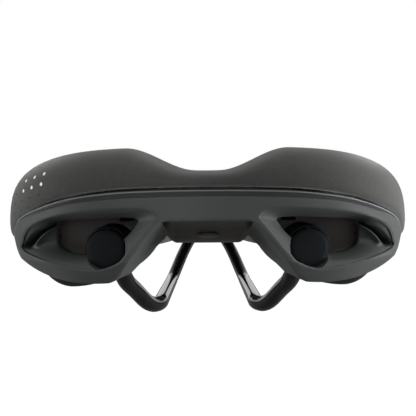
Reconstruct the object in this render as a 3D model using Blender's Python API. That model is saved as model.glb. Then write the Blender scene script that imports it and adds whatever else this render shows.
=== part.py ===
"""Bicycle saddle: a short, wide, channelled saddle on a pair of round rails.

World frame, in metres: origin midway between the rails at the seatpost clamp, +Y towards the
nose, +Z up.  Lengths below are in millimetres and are scaled once, when a mesh is made.
"""

import math

import bmesh
import bpy
import numpy as np
from mathutils import Vector
from mathutils.bvhtree import BVHTree

MM = 0.001
GAP = 0.35  # clearance kept between neighbouring pieces

# The rim: the line where the cover meets the base, right half, from the rear centre to the nose.
RIM = (
    (0, -127, 50.8), (16, -129, 50.6), (32, -130, 49.9), (47, -127, 48.0), (59, -120, 44.8),
    (68.5, -108, 41.0), (74.5, -94, 35.4), (77.3, -82, 32.0), (75.5, -66, 30.6), (67, -47, 30.0),
    (53, -26, 30.0), (41.5, -5, 30.0), (32, 16, 30.2), (26, 40, 30.6), (22.5, 66, 31.0),
    (20.5, 92, 31.5), (18, 118, 32.0), (13.5, 133, 32.5), (7, 139.5, 33.0), (0, 141, 33.0),
)
RIM_STEPS = 54  # cross-sections round the rim in the cover, the foam and the base
SPINE_REAR_Y, SPINE_NOSE_Y = -92, 112  # ends of the centre line that every cross-section runs to

# Cushion: the crest is the highest line of each half, and the dip is the channel between them.
CREST_Z = ((-131, 64.8), (-98, 65.4), (-70, 64.6), (-40, 61.8), (0, 58.8), (50, 57.4), (110, 56.0),
           (142, 53.0))
CREST_X = ((-131, 29), (-80, 29), (-40, 24), (0, 16), (40, 11), (142, 9))
DIP = ((-131, 8.0), (-60, 8.0), (-20, 7.4), (20, 5.6), (60, 3.0), (100, 0), (142, 0))
CHANNEL_FLOOR = 0.15  # the flat share of the channel's half width
ROUNDING = 2.5  # exponent of the super-ellipse that rolls the top over into the side
ROLL_WIDE, ROLL_NARROW = 0.56, 0.86  # share of a cross-section that is rolled over, wings and nose
ROLL_REACH = (25.0, 60.0)  # half widths over which the one share turns into the other
ROLL_SPACING = 2.4  # exponent that crowds the roll's points towards the edge
SHRINK_RATE = 2.2  # how soon past its edge the foam has sunk by its full gap to the skin
ROLL_STEPS, INNER_STEPS = 6, 4  # points over the rounded edge, and from there to the centre line
BULGE = 1.6  # how far the cushion stands outside the rim
BULGE_RISE = 4.5  # height of its widest line above the rim
COVER_THICKNESS = 1.0
COVER_TUCK = 3.2  # width of the skin's edge turned in under the foam
TUCK_LINE = ((-COVER_TUCK, 0.0), (-0.6, -0.2), (0.6, 0.05), (1.3, 1.7))  # out from the rim, and up
FOAM_GAP = 0.8  # above the plate
FOAM_EDGE = 1.7  # height of the foam's lower edge above the rim, clear of the turned-in skin

# Base shell: a plate under the foam with a trough along its centre and a short skirt.
PLATE_THICKNESS = 2.6
RIM_DROP = 0.5  # of the plate's edge below the rim line
PLATE_Z = ((-131, 47.6), (-100, 47.0), (-60, 44.0), (-20, 40.0), (20, 38.0), (60, 37.0), (142, 36.5))
TROUGH_Z = ((-131, 41.5), (-100, 40.6), (-70, 38.8), (-40, 34.0), (-20, 30.0), (-5, 27.8), (15, 28.1),
            (40, 30.1), (70, 34.1), (95, 36.7), (142, 36.5))
TROUGH_HALF = ((-131, 14.5), (-80, 14.5), (-40, 10.0), (20, 8.5), (60, 7.0), (142, 6.0))
TROUGH_WALL = ((-131, 5), (-80, 5), (-35, 18), (20, 18), (60, 8), (142, 5))
RIM_BLEND = (4.0, 20.0, 0.3)  # least and most distance over which the plate leaves the rim, and its share
SKIRT_DEPTH, SKIRT_WAIST_SHARE = 8.0, 0.5  # under the wings, and what is left of it at the waist
SKIRT_START_Y, SKIRT_RUN = -82.0, 24.0
WAIST_START_Y, WAIST_RUN = -45.0, 30.0
LIP_WIDTH, LIP_TOE = 2.7, 0.6
REAR_INSET, SIDE_INSET = 4.0, 1.0  # of the plate's edge inside the rim, behind and beside the fascia
FASCIA_END_Y = -92.0
PLATE_FRACTIONS = (0.0, 0.03, 0.08, 0.15, 0.26, 0.4, 0.55, 0.68, 0.78, 0.88, 1.0)

# Rails: a 7 mm round bar, drawn with flats at the top and bottom.
RAIL_RADIUS = 3.5
RAIL_SIDES = 12
RAIL_STEPS = 19  # rings in each bent end
CLAMP_HALF_GAUGE = 22.0
CLAMP_REAR_Y, CLAMP_FRONT_Y = -44, 40
RAIL_REAR = ((35.1, -116, 29.5), (35.1, -106.5, 29.5), (35.0, -99, 28.2), (34.6, -90, 22.3),
             (33.7, -80, 14.5), (30.7, -70, 8.7), (27.4, -60.5, 2.9), (24.9, -54.5, 0.5), (22.8, -49, 0.0))
RAIL_FRONT = ((21.7, 47, 0.9), (19.4, 55, 6.4), (16.4, 63, 13.6), (13.2, 71, 20.0), (10.2, 78.5, 24.7),
              (8.0, 85, 26.8), (7.5, 91, 27.0), (7.5, 98, 27.0), (7.5, 116, 27.0))

# Rear bushes, on axes parallel to Y.
BUSH_X, BUSH_Z = 35.1, 29.5
FERRULE_RADIUS, BUSH_RADIUS, HOUSING_BORE, HOUSING_RADIUS = 4.8, 6.65, 7.0, 8.3
HOUSING_Y = (-121.5, -101.0)
BUSH_Y = (-117.3, -102.5)
FERRULE_Y = (-115.0, -107.5)
CAP_Y = (-120.6, -117.8)
BORE_CLEARANCE = 0.6  # round the rails, in the ferrules and the nose socket

# Nose socket, split along the rails' axes.
NOSE_Z = 27.0
NOSE_X = 7.5
NOSE_Y = (92.0, 120.0)
NOSE_HALF_WIDTH = 13.0
NOSE_BOTTOM_Z, NOSE_TOP_Z = 21.2, 28.9
NOSE_SPLIT = 0.2  # half the slit between the block and the clamp plate
NOSE_CORNER = 2.5
NOSE_BACK_WALL = 2.5  # left closed ahead of the rails' ends
FOOT_HALF, FOOT_TOP_Z = 10.6, 31.9
NOSE_SCREW_YS = (97.0, 111.0)
NOSE_SCREW_HEAD_Z, NOSE_SCREW_TIP_Z, NOSE_SINK_Z = 20.9, 30.9, 22.6

# Fascia: bottom edge height against distance from the centre line, and the two windows.
FASCIA_BOTTOM = ((0, 38.9), (14.5, 38.9), (17, 37.2), (22, 31.0), (27, 24.5), (31, 19.6), (35, 17.5),
                 (42, 17.2), (50, 17.4), (55, 18.0), (60, 19.1), (66, 21.4), (71, 25.0), (75, 29.3), (78, 30.2))
FASCIA_DEPTH = ((0, 3.2), (19, 3.4), (27, 11.0), (60, 11.0), (68, 5.0), (78, 2.6))
FASCIA_INNER_TOP = 41.4
FASCIA_LEAN, LEAN_TOP_Z, LEAN_HEIGHT = 5.0, 49.0, 32.0  # how far forward the face lies, and from where
FACE_SET_BACK, EDGE_SET_BACK = 0.3, 0.7  # of the face, and of its eased edges, inside the rim
FACE_POINTS = 8
STRIP_TOP, STRIP_BOTTOM = 0.9, 2.9  # below the rim
WINDOW = ((66.5, 28.6), (66.8, 31.5), (62.6, 37.0), (52.7, 40.8), (37.6, 42.8), (22.5, 43.2), (17.6, 40.8),
          (19.5, 37.6), (27.4, 28.2), (31.4, 24.6), (39, 22.6), (51, 24.4))
OPENING = ((54.2, 31.0), (54.2, 37.6), (51.0, 39.6), (38, 40.4), (24.6, 40.2), (24.6, 37.4), (28.6, 33.0),
           (33, 29.5), (39, 27.6), (44.4, 27.2), (50.0, 28.2))
OPENING_DEPTH = 8.0
WINDOW_MIDDLE = (42.0, 33.5)
WINDOW_STEPS = 40
WEB_REAR = ((15.9, -127.5, 39.6), (31.5, -122.0, 18.6))
WEB_FRONT = ((15.2, -93.0, 33.4), (29.6, -95.0, 18.6))
WEB_THICKNESS = 1.7

# Wing covers: a bowl under each wing.
WING_OUTLINE = ((21.5, -58), (23.5, -74), (31, -85), (42, -91.5), (54, -95), (64, -92), (69.5, -81),
                (68, -66), (60, -47), (47.5, -28), (37.5, -13), (28, -20), (22, -38))
WING_CENTRE = (55.5, -74.0)
WING_LOW_Z = 11.2
WING_THICKNESS = 1.8
WING_RIM_DROP = 1.8

# Screws: the place of each fascia screw on the right half, and the radii of both kinds.
SCREWS = ((29.0, -110.0), (57.0, -104.0))
SCREW_HEAD, SCREW_SHANK, SCREW_BITE = 2.8, 1.5, 2.0
NOSE_SCREW_HEAD, NOSE_SCREW_SHANK = 3.6, 2.0
HEAD_HEIGHT, KEY_DEPTH, KEY_SHARE = 1.3, 0.8, 0.5
TAB_HALF, TAB_THICKNESS, TAB_REACH = 4.2, 2.4, 6.0

# Port plug
PORT_Y = -40.0
PLUG_STEM, PLUG_FLANGE, PLUG_CROWN = 3.6, 5.4, 4.7
PLUG_DEPTH, PLUG_EDGE, PLUG_RISE = 1.6, 1.1, 2.2
PIVOT = (0.0, 104.0, NOSE_Z)  # the seat flexes about this line, along X


def clear_scene():
    for thing in list(bpy.data.objects):
        bpy.data.objects.remove(thing, do_unlink=True)


def material(name, colour, roughness, metallic=0.0):
    made = bpy.data.materials.new(name)
    made.use_nodes = True
    shader = made.node_tree.nodes["Principled BSDF"]
    shader.inputs["Base Color"].default_value = (*colour, 1.0)
    shader.inputs["Roughness"].default_value = roughness
    shader.inputs["Metallic"].default_value = metallic
    return made


def profile(table, at):
    """A smooth curve through the table's (place, value) pairs, without overshoot."""
    places, values = np.array(table, float).T
    steps = np.diff(places)
    slopes = np.diff(values) / steps
    tangents = np.zeros(len(places))
    rising = slopes[:-1] * slopes[1:] > 0
    tangents[1:-1][rising] = 2 * slopes[:-1][rising] * slopes[1:][rising] / (slopes[:-1] + slopes[1:])[rising]
    at = min(max(at, places[0]), places[-1])
    i = min(int(np.searchsorted(places, at, side="right")) - 1, len(steps) - 1)
    f = (at - places[i]) / steps[i]
    return float(
        values[i] * (1 + 2 * f) * (1 - f) ** 2
        + steps[i] * tangents[i] * f * (1 - f) ** 2
        + values[i + 1] * f * f * (3 - 2 * f)
        + steps[i] * tangents[i + 1] * f * f * (f - 1)
    )


def ease(f):
    f = min(max(f, 0.0), 1.0)
    return f * f * (3 - 2 * f)


def spline(points, closed, per_span=10):
    """Catmull-Rom curve through the points, sampled finely."""
    pts = np.array(points, float)
    n = len(pts)
    fine = []
    for i in range(n if closed else n - 1):
        if closed:
            a, b, c, d = (pts[(i + k) % n] for k in (-1, 0, 1, 2))
        else:
            a, b, c, d = (pts[min(max(i + k, 0), n - 1)] for k in (-1, 0, 1, 2))
        for step in range(per_span):
            f = step / per_span
            fine.append(
                b + 0.5 * f * (c - a + f * (2 * a - 5 * b + 4 * c - d + f * (3 * (b - c) + d - a)))
            )
    fine.append(fine[0] if closed else pts[-1])
    return np.array(fine)


def resample(fine, count, closed):
    """The curve's points at even distances; a closed curve's last point isn't repeated."""
    along = np.concatenate([[0], np.cumsum(np.linalg.norm(np.diff(fine, axis=0), axis=1))])
    wanted = np.linspace(0, along[-1], count + 1 if closed else count)
    if closed:
        wanted = wanted[:-1]
    return np.array([[np.interp(w, along, fine[:, k]) for k in range(fine.shape[1])] for w in wanted])


def rim_line(count):
    left = [(-x, y, z) for x, y, z in RIM[-2:0:-1]]
    return resample(spline(list(RIM) + left, True), count, True)


def outward(line, closed=True):
    """Unit normals in plan, pointing away from the saddle's middle, of the whole rim or a stretch of it."""
    ahead = np.roll(line, -1, axis=0) - np.roll(line, 1, axis=0)
    if not closed:
        ahead[0] = line[1] - line[0]
        ahead[-1] = line[-1] - line[-2]
    normals = np.stack([ahead[:, 1], -ahead[:, 0]], axis=1)
    return normals / np.linalg.norm(normals, axis=1)[:, None]


def spoke(point):
    """The place on the centre line that the cross-section through this rim point runs to."""
    return np.array([0.0, min(max(point[1], SPINE_REAR_Y), SPINE_NOSE_Y)])


def top_z(x, y):
    crest = profile(CREST_X, y)
    channel = 1 - ease((abs(x) / crest - CHANNEL_FLOOR) / (1 - CHANNEL_FLOOR))
    return profile(CREST_Z, y) - profile(DIP, y) * channel


def plate_z(x, y):
    """Top of the base plate away from its rim."""
    wall = ease((abs(x) - profile(TROUGH_HALF, y)) / profile(TROUGH_WALL, y))
    low = min(profile(TROUGH_Z, y), profile(PLATE_Z, y))
    return low + (profile(PLATE_Z, y) - low) * wall


def mesh_object(name, points, faces, finish, smooth_angle=40):
    mesh = bpy.data.meshes.new(name)
    mesh.from_pydata([tuple(c * MM for c in p) for p in points], [], faces)
    shape = bmesh.new()
    shape.from_mesh(mesh)
    bmesh.ops.remove_doubles(shape, verts=shape.verts, dist=1e-6)
    bmesh.ops.recalc_face_normals(shape, faces=shape.faces)
    shape.to_mesh(mesh)
    shape.free()
    made = bpy.data.objects.new(name, mesh)
    bpy.context.collection.objects.link(made)
    if finish:
        mesh.materials.append(finish)
    shade(made, smooth_angle)
    return made


def shade(thing, angle=40):
    thing.data.shade_smooth()
    thing.data.set_sharp_from_angle(angle=math.radians(angle))


def grid_faces(rows, columns, closed_rows, closed_columns):
    faces = []
    for r in range(rows if closed_rows else rows - 1):
        for c in range(columns if closed_columns else columns - 1):
            r2, c2 = (r + 1) % rows, (c + 1) % columns
            faces.append((r * columns + c, r * columns + c2, r2 * columns + c2, r2 * columns + c))
    return faces


def loft(name, sections, finish):
    """A closed solid through equal closed sections, capped at its ends."""
    columns = len(sections[0])
    points = np.concatenate([np.asarray(s, float) for s in sections])
    faces = grid_faces(len(sections), columns, False, True)
    faces.append(tuple(range(columns)))
    faces.append(tuple(range(len(points) - 1, len(points) - 1 - columns, -1)))
    return mesh_object(name, points, faces, finish)


def wrapped(name, sections, finish, smooth_angle=40, other_diagonal=False):
    """A skin through half sections that start or end on the centre line, where both halves meet.

    Two skins that lie close together split their quads the same way, so that they stay clear.
    """
    points = np.concatenate([np.array(s) for s in sections])
    faces = []
    for a, b, c, d in grid_faces(len(sections), len(sections[0]), True, False):
        faces += [(a, b, d), (b, c, d)] if other_diagonal else [(a, b, c), (a, c, d)]
    return mesh_object(name, points, faces, finish, smooth_angle)


def evaluated(thing, finish=None):
    """Turn a piece's modifiers into its own mesh."""
    graph = bpy.context.evaluated_depsgraph_get()
    mesh = bpy.data.meshes.new_from_object(thing.evaluated_get(graph))
    thing.modifiers.clear()
    thing.data = mesh
    mesh.materials.clear()
    if finish:
        mesh.materials.append(finish)
    shade(thing)


def combine(thing, others, operation, finish):
    """Join the other shapes to a piece, or cut them from it, and drop them."""
    for other in others:
        step = thing.modifiers.new("shape", "BOOLEAN")
        step.operation = operation
        step.solver = "EXACT"
        step.object = other
    bpy.context.view_layer.update()
    evaluated(thing, finish)
    for other in others:
        bpy.data.objects.remove(other, do_unlink=True)


def round_bar(name, start, end, radius, finish=None, sides=24, bevel=0.0):
    """A cylinder between two points, along Y or Z, with an optional chamfer at each end."""
    start, end = np.array(start, float), np.array(end, float)
    axis = (end - start) / np.linalg.norm(end - start)
    side = np.cross(axis, (1.0, 0, 0))
    up = np.cross(axis, side)
    turn = [2 * math.pi * (k + 0.5) / sides for k in range(sides)]
    ends = [(start, radius), (end, radius)]
    if bevel:
        ends = [(start, radius - bevel), (start + axis * bevel, radius),
                (end - axis * bevel, radius), (end, radius - bevel)]
    sections = [[c + r * (math.cos(t) * side + math.sin(t) * up) for t in turn] for c, r in ends]
    return loft(name, sections, finish)


def block(name, low, high, finish=None, bevel=0.0):
    """A box between two corners; the bevel rounds its upright edges."""
    (x0, y0, z0), (x1, y1, z1) = low, high
    outline = [(x0, y0), (x1, y0), (x1, y1), (x0, y1)]
    if bevel:
        outline = [(x0 + bevel, y0), (x1 - bevel, y0), (x1, y0 + bevel), (x1, y1 - bevel),
                   (x1 - bevel, y1), (x0 + bevel, y1), (x0, y1 - bevel), (x0, y0 + bevel)]
    return loft(name, [[(x, y, z) for x, y in outline] for z in (z0, z1)], finish)


def bulge_rise(rim):
    """Height of the cushion's widest line above the rim: less where the cushion is thin."""
    return min(BULGE_RISE, 0.35 * (top_z(rim[0], rim[1]) - rim[2]))


def cushion_sections(shrink):
    """For each rim point: the points from the cushion's widest line over to the centre line."""
    line = rim_line(RIM_STEPS)
    normals = outward(line)
    narrow, wide = ROLL_REACH
    sections = []
    for rim, normal in zip(line, normals):
        edge = rim[:2] + normal * (BULGE - shrink)
        edge_z = rim[2] + bulge_rise(rim)
        centre = spoke(rim)
        reach = np.linalg.norm(edge - centre)
        roll = reach * (ROLL_WIDE + (ROLL_NARROW - ROLL_WIDE) * ease((wide - reach) / (wide - narrow)))
        steps = [roll * (k / ROLL_STEPS) ** ROLL_SPACING for k in range(ROLL_STEPS + 1)]
        steps += [roll + (reach - roll) * k / INNER_STEPS for k in range(1, INNER_STEPS + 1)]
        section = []
        for d in steps:
            x, y = edge + (centre - edge) * d / reach
            full = (1 - (1 - min(d / roll, 1)) ** ROUNDING) ** (1 / ROUNDING)
            sunk = shrink * min(1, SHRINK_RATE * full)
            section.append((x, y, edge_z + (top_z(x, y) - edge_z) * full - sunk))
        sections.append(section)
    return line, normals, sections


def cover(finish):
    """The skin over the foam, turned in under the foam's edge."""
    line, normals, tops = cushion_sections(0.0)
    sections = []
    for rim, normal, top in zip(line, normals, tops):
        rise = bulge_rise(rim) / BULGE_RISE
        lower = [(*(rim[:2] + normal * out), rim[2] + (up * rise if up > 1 else up)) for out, up in TUCK_LINE]
        sections.append(lower + top)
    made = wrapped("cover", sections, finish, 60, other_diagonal=True)
    skin = made.modifiers.new("skin", "SOLIDIFY")
    skin.thickness = COVER_THICKNESS * MM
    skin.offset = -1
    bpy.context.view_layer.update()
    evaluated(made, finish)
    return made


def foam_pad(finish):
    """The moulded foam between the skin and the base plate."""
    shrink = COVER_THICKNESS + 1.4 * GAP
    line, normals, tops = cushion_sections(shrink)
    sections = []
    for rim, normal, top in zip(line, normals, tops):
        below = [(*(rim[:2] + normal * (BULGE - shrink - GAP)), rim[2] + FOAM_EDGE)]
        for d, x, y, z in plate_line(rim, normal)[1:]:
            floor = rim[2] + FOAM_EDGE if d < COVER_TUCK + 5 else -math.inf
            below.append((x, y, max(z + FOAM_GAP, floor)))
        sections.append(top[::-1] + below)
    return wrapped("foam_pad", sections, finish)


def plate_top(rim, d, reach, x, y):
    """Top of the base plate at a distance in from the rim."""
    least, most, share = RIM_BLEND
    f = ease((d - least) / min(max(share * reach, least), most))
    edge = rim[2] - RIM_DROP
    return edge + (plate_z(x, y) - edge) * f


def plate_line(rim, normal):
    """Distance in from the rim, and place, of the points across the top of the base plate."""
    inset = REAR_INSET + (SIDE_INSET - REAR_INSET) * beside_fascia(rim)
    centre = spoke(rim)
    reach = np.linalg.norm(rim[:2] - centre)
    found = []
    for f in PLATE_FRACTIONS:
        d = inset + (reach - inset) * f
        x, y = rim[:2] - normal * inset if f == 0 else rim[:2] + (centre - rim[:2]) * d / reach
        found.append((d, x, y, plate_top(rim, d, reach, x, y)))
    return found


def beside_fascia(rim):
    """0 behind the fascia, rising to 1 forward of its ends."""
    return ease((rim[1] - FASCIA_END_Y - 5.0) / 8.0)


def skirt_depth(rim):
    """The skirt grows from nothing at the widest place, and is shallower from the waist to the nose."""
    waist = 1 - (1 - SKIRT_WAIST_SHARE) * ease((rim[1] - WAIST_START_Y) / WAIST_RUN)
    return SKIRT_DEPTH * ease((rim[1] - SKIRT_START_Y) / SKIRT_RUN) * waist


def base_shell(finish):
    """The plate under the foam: trough along the centre, skirt along the sides and the nose."""
    line = rim_line(RIM_STEPS)
    normals = outward(line)
    sections = []
    for rim, normal in zip(line, normals):
        beside = beside_fascia(rim)
        inset = REAR_INSET + (SIDE_INSET - REAR_INSET) * beside
        skirt = skirt_depth(rim)
        upper = [(x, y, z) for _, x, y, z in plate_line(rim, normal)]
        lower = [(x, y, z - PLATE_THICKNESS) for _, x, y, z in plate_line(rim, normal)[3:]]
        lip_z = rim[2] - RIM_DROP - PLATE_THICKNESS - skirt
        lips = []
        for across, up in ((LIP_TOE * beside, 0.3), (LIP_WIDTH - 0.5, 0.0), (LIP_WIDTH, skirt + 0.05)):
            lips.append((*(rim[:2] - normal * (inset + across)), lip_z + up))
        sections.append(upper[::-1] + lips + lower)
    return wrapped("base_shell", sections, finish, other_diagonal=True)


def surface_below(thing):
    """A function giving a piece's lowest surface above a place in plan."""
    shape = bmesh.new()
    shape.from_mesh(thing.data)
    tree = BVHTree.FromBMesh(shape)
    shape.free()

    def height(x, y):
        hit = tree.ray_cast(Vector((x * MM, y * MM, 0.0)), Vector((0, 0, 1)))[0]
        return hit.z / MM if hit else None

    return height


def rail(name, side, finish):
    points = [*RAIL_REAR, (CLAMP_HALF_GAUGE, CLAMP_REAR_Y, 0)]
    rear = resample(spline(points, False), RAIL_STEPS, False)
    front = resample(spline([(CLAMP_HALF_GAUGE, CLAMP_FRONT_Y, 0), *RAIL_FRONT], False), RAIL_STEPS, False)
    path = np.concatenate([rear, front])
    ahead = np.gradient(path, axis=0)
    ahead[RAIL_STEPS - 1] = ahead[RAIL_STEPS] = (0, 1, 0)
    radius = RAIL_RADIUS / math.cos(math.pi / RAIL_SIDES)
    sections = []
    for point, way in zip(path, ahead):
        way = way / np.linalg.norm(way)
        across = np.cross(way, (0, 0, 1.0))
        across /= np.linalg.norm(across)
        up = np.cross(across, way)
        ring = []
        for k in range(RAIL_SIDES):
            turn = 2 * math.pi * (k + 0.5) / RAIL_SIDES
            place = point + radius * (math.cos(turn) * across + math.sin(turn) * up)
            ring.append((side * place[0], place[1], place[2]))
        sections.append(ring)
    return loft(name, sections, finish)


def tube(name, x, z, ys, outer, inner, finish):
    made = round_bar(name, (x, ys[0], z), (x, ys[1], z), outer, finish, 20, 0.4)
    bore = round_bar("bore", (x, ys[0] - 5, z), (x, ys[1] + 5, z), inner, None, 20)
    combine(made, [bore], "DIFFERENCE", finish)
    return made


def face_y(x, z):
    """Rear face of the fascia at a place seen from behind."""
    return profile([(p[0], p[1]) for p in RIM[:7]], abs(x)) + lean(z)


def lean(z):
    """How far forward of the rim the fascia's face has leaned at a height."""
    return FASCIA_LEAN * (max(LEAN_TOP_Z - z, 0) / LEAN_HEIGHT) ** 2


def by_angle(outline, middle, count):
    """A closed outline's points at even angles round its middle."""
    fine = spline(outline, True) - middle
    turns = np.unwrap(np.arctan2(fine[:, 1], fine[:, 0]))
    if turns[-1] < turns[0]:
        turns, fine = turns[::-1], fine[::-1]
    radii = np.linalg.norm(fine, axis=1)
    wanted = [turns[0] + (2 * math.pi * k / count - turns[0]) % (2 * math.pi) for k in range(count)]
    return [middle + np.interp(w, turns, radii) * np.array((math.cos(w), math.sin(w))) for w in wanted]


def window_cutter():
    """A funnel from the window's outline in the face down to the smaller opening behind it."""
    middle = np.array(WINDOW_MIDDLE)
    rings = [[], [], [], []]
    for p, q in zip(by_angle(WINDOW, middle, WINDOW_STEPS), by_angle(OPENING, middle, WINDOW_STEPS)):
        y = face_y(p[0], p[1])
        grown = middle + (p - middle) * 1.03
        rings[0].append((grown[0], y - 6, grown[1]))
        rings[1].append((p[0], y + 0.4, p[1]))
        rings[2].append((q[0], face_y(q[0], q[1]) + OPENING_DEPTH, q[1]))
        rings[3].append((q[0], face_y(q[0], q[1]) + 40, q[1]))
    return loft("window", rings, None)


def arm_web():
    """The deep inner wall of an arm, running forward from the face."""
    thick = np.array((WEB_THICKNESS, 0, WEB_THICKNESS))
    sections = []
    for near, far in (WEB_REAR, WEB_FRONT):
        near, far = np.array(near), np.array(far)
        sections.append([near, far, far + thick, near + thick])
    return loft("web", sections, None)


def rear_band():
    """The rim points that the fascia and its trim strip run along, left to right."""
    line = rim_line(160)
    half = len(line) // 2
    ordered = np.concatenate([line[half:], line[:half + 1]])
    kept = [p for p in ordered if p[1] < FASCIA_END_Y]
    return np.array(kept)


def mirrored(thing):
    """Add the other half of a piece that was made on the right and cut off square at the middle."""
    shape = bmesh.new()
    shape.from_mesh(thing.data)
    middle = [f for f in shape.faces if all(abs(v.co.x) < 1e-7 for v in f.verts)]
    bmesh.ops.delete(shape, geom=middle, context="FACES")
    copied = bmesh.ops.duplicate(shape, geom=shape.verts[:] + shape.edges[:] + shape.faces[:])["geom"]
    for v in (g for g in copied if isinstance(g, bmesh.types.BMVert)):
        v.co.x = -v.co.x
    bmesh.ops.reverse_faces(shape, faces=[g for g in copied if isinstance(g, bmesh.types.BMFace)])
    bmesh.ops.remove_doubles(shape, verts=shape.verts, dist=1e-7)
    shape.to_mesh(thing.data)
    shape.free()
    shade(thing)


def fascia_section(rim, normal):
    """The fascia's cross-section at a rim point: down its face, and back up its inner side."""
    x = abs(rim[0])
    top = rim[2] - STRIP_BOTTOM - GAP
    bottom = min(profile(FASCIA_BOTTOM, x), top - 1.2)
    depth = profile(FASCIA_DEPTH, x)
    ring = []
    for k in range(FACE_POINTS):
        z = top + (bottom - top) * k / (FACE_POINTS - 1)
        back = EDGE_SET_BACK if k in (0, FACE_POINTS - 1) else FACE_SET_BACK
        ring.append((*(rim[:2] - normal * (lean(z) + back)), z))
    inner_top = min(top - 1.6, FASCIA_INNER_TOP)
    for up, deep in ((0.03, 0.55), (0.4, 0.85), (1.0, 1.0)):
        z = bottom + (inner_top - bottom) * up
        ring.append((*(rim[:2] - normal * (0.6 * lean(bottom) + depth * deep)), z))
    return ring


def rear_fascia(finish, under):
    """The bumper under the rear rim, with its windows, arms, bush housings and screw tabs."""
    line = rear_band()
    normals = outward(line, closed=False)
    middle = len(line) // 2
    sections = [fascia_section(rim, normal) for rim, normal in zip(line[middle:], normals[middle:])]
    made = loft("rear_fascia", sections, finish)
    combine(made, [window_cutter()], "DIFFERENCE", finish)
    ends = [(BUSH_X, y, BUSH_Z) for y in HOUSING_Y]
    added = [round_bar("housing", *ends, HOUSING_RADIUS, None, 28), arm_web()]
    through = [(BUSH_X, y, BUSH_Z) for y in (-135, FASCIA_END_Y)]
    cuts = [round_bar("bore", *through, HOUSING_BORE, None, 28)]
    for x, y in SCREWS:
        high = tab_top(under, x, y)
        low = (x - TAB_HALF, y - TAB_HALF - TAB_REACH, high - TAB_THICKNESS)
        added.append(block("tab", low, (x + TAB_HALF, y + TAB_HALF, high)))
        cuts.append(screw_hole(x, y, high - 9, high + 3, SCREW_SHANK))
    combine(made, added, "UNION", finish)
    combine(made, cuts, "DIFFERENCE", finish)
    mirrored(made)
    return made


def screw_hole(x, y, low, high, shank_radius):
    return round_bar("hole", (x, y, low), (x, y, high), shank_radius + GAP, None, 12)


def tab_top(under, x, y):
    """Top of a screw tab: just under the lowest part of the base plate above it."""
    across = (-TAB_HALF, 0, TAB_HALF)
    along = (-TAB_HALF - 5, 0, TAB_HALF)
    heights = [under(x + dx, y + dy) for dx in across for dy in along]
    return min(z for z in heights if z is not None) - GAP - 0.1


def trim_strip(finish):
    """The gloss strip let in between the cover's edge and the fascia."""
    line = rear_band()
    normals = outward(line, closed=False)
    shape = ((0.5, STRIP_TOP), (0.0, STRIP_TOP + 0.4), (0.0, STRIP_BOTTOM - 0.3), (0.4, STRIP_BOTTOM),
             (2.0, STRIP_BOTTOM), (2.0, STRIP_TOP))
    sections = [[(*(rim[:2] - n * d), rim[2] - z) for d, z in shape] for rim, n in zip(line, normals)]
    return loft("trim_strip", sections, finish)


def wing_cover(name, side, under, finish):
    """A bowl hung under the wing, its rim just below the base plate."""
    outline = resample(spline(WING_OUTLINE, True), 34, True)
    rings = [0.3, 0.55, 0.75, 0.89, 1.0]
    centre = np.array(WING_CENTRE)
    points = [(side * centre[0], centre[1], WING_LOW_Z)]
    for f in rings:
        for edge in outline:
            x, y = centre + (edge - centre) * f
            top = under(side * edge[0], edge[1]) - WING_RIM_DROP
            points.append((side * x, y, top + (WING_LOW_Z - top) * math.sqrt(max(1 - f ** 2, 0))))
    n = len(outline)
    faces = [(0, 1 + k, 1 + (k + 1) % n) for k in range(n)]
    for r in range(len(rings) - 1):
        for k in range(n):
            a, b = 1 + r * n + k, 1 + r * n + (k + 1) % n
            faces.append((a, a + n, b + n, b))
    made = mesh_object(name, points, faces, finish, 60)
    down = sum((f.normal.z for f in made.data.polygons), 0.0) < 0
    wall = made.modifiers.new("wall", "SOLIDIFY")
    wall.thickness = WING_THICKNESS * MM
    wall.offset = -1 if down else 1
    bpy.context.view_layer.update()
    evaluated(made, finish)
    return made


def nose_socket(finish):
    """The block that takes the rails' front ends, and the plate that closes it from below."""
    (y0, y1), half = NOSE_Y, NOSE_HALF_WIDTH
    low, high = (-half, y0, NOSE_Z + NOSE_SPLIT), (half, y1, NOSE_TOP_Z)
    upper = block("nose_socket", low, high, finish, NOSE_CORNER)
    foot = block("foot", (-FOOT_HALF, y0 + 1, NOSE_Z + 1), (FOOT_HALF, y1 - 3, FOOT_TOP_Z), None, 2.0)
    combine(upper, [foot], "UNION", finish)
    low, high = (-half, y0, NOSE_BOTTOM_Z), (half, y1, NOSE_Z - NOSE_SPLIT)
    lower = block("nose_clamp", low, high, finish, NOSE_CORNER)
    for piece in (upper, lower):
        cuts = []
        for x in (NOSE_X, -NOSE_X):
            ends = [(x, y, NOSE_Z) for y in (y0 - 6, y1 - NOSE_BACK_WALL)]
            cuts.append(round_bar("bore", *ends, RAIL_RADIUS + BORE_CLEARANCE, None, 24))
        for y in NOSE_SCREW_YS:
            cuts.append(screw_hole(0, y, 15.0, FOOT_TOP_Z - 0.6, NOSE_SCREW_SHANK))
            cuts.append(round_bar("sink", (0, y, 15.0), (0, y, NOSE_SINK_Z), NOSE_SCREW_HEAD + GAP, None, 20))
        combine(piece, cuts, "DIFFERENCE", finish)
    return upper, lower


def screw(name, x, y, head_z, tip_z, radii, finish):
    """A screw driven upwards, with a hexagonal key hole in its head."""
    head_radius, shank_radius = radii
    head = round_bar(name, (x, y, head_z), (x, y, head_z + HEAD_HEIGHT), head_radius, finish, 16, 0.25)
    shank = round_bar("shank", (x, y, head_z + KEY_DEPTH + 0.1), (x, y, tip_z), shank_radius, None, 12)
    key = round_bar("key", (x, y, head_z - 1), (x, y, head_z + KEY_DEPTH), head_radius * KEY_SHARE, None, 6)
    combine(head, [shank], "UNION", finish)
    combine(head, [key], "DIFFERENCE", finish)
    return head


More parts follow.
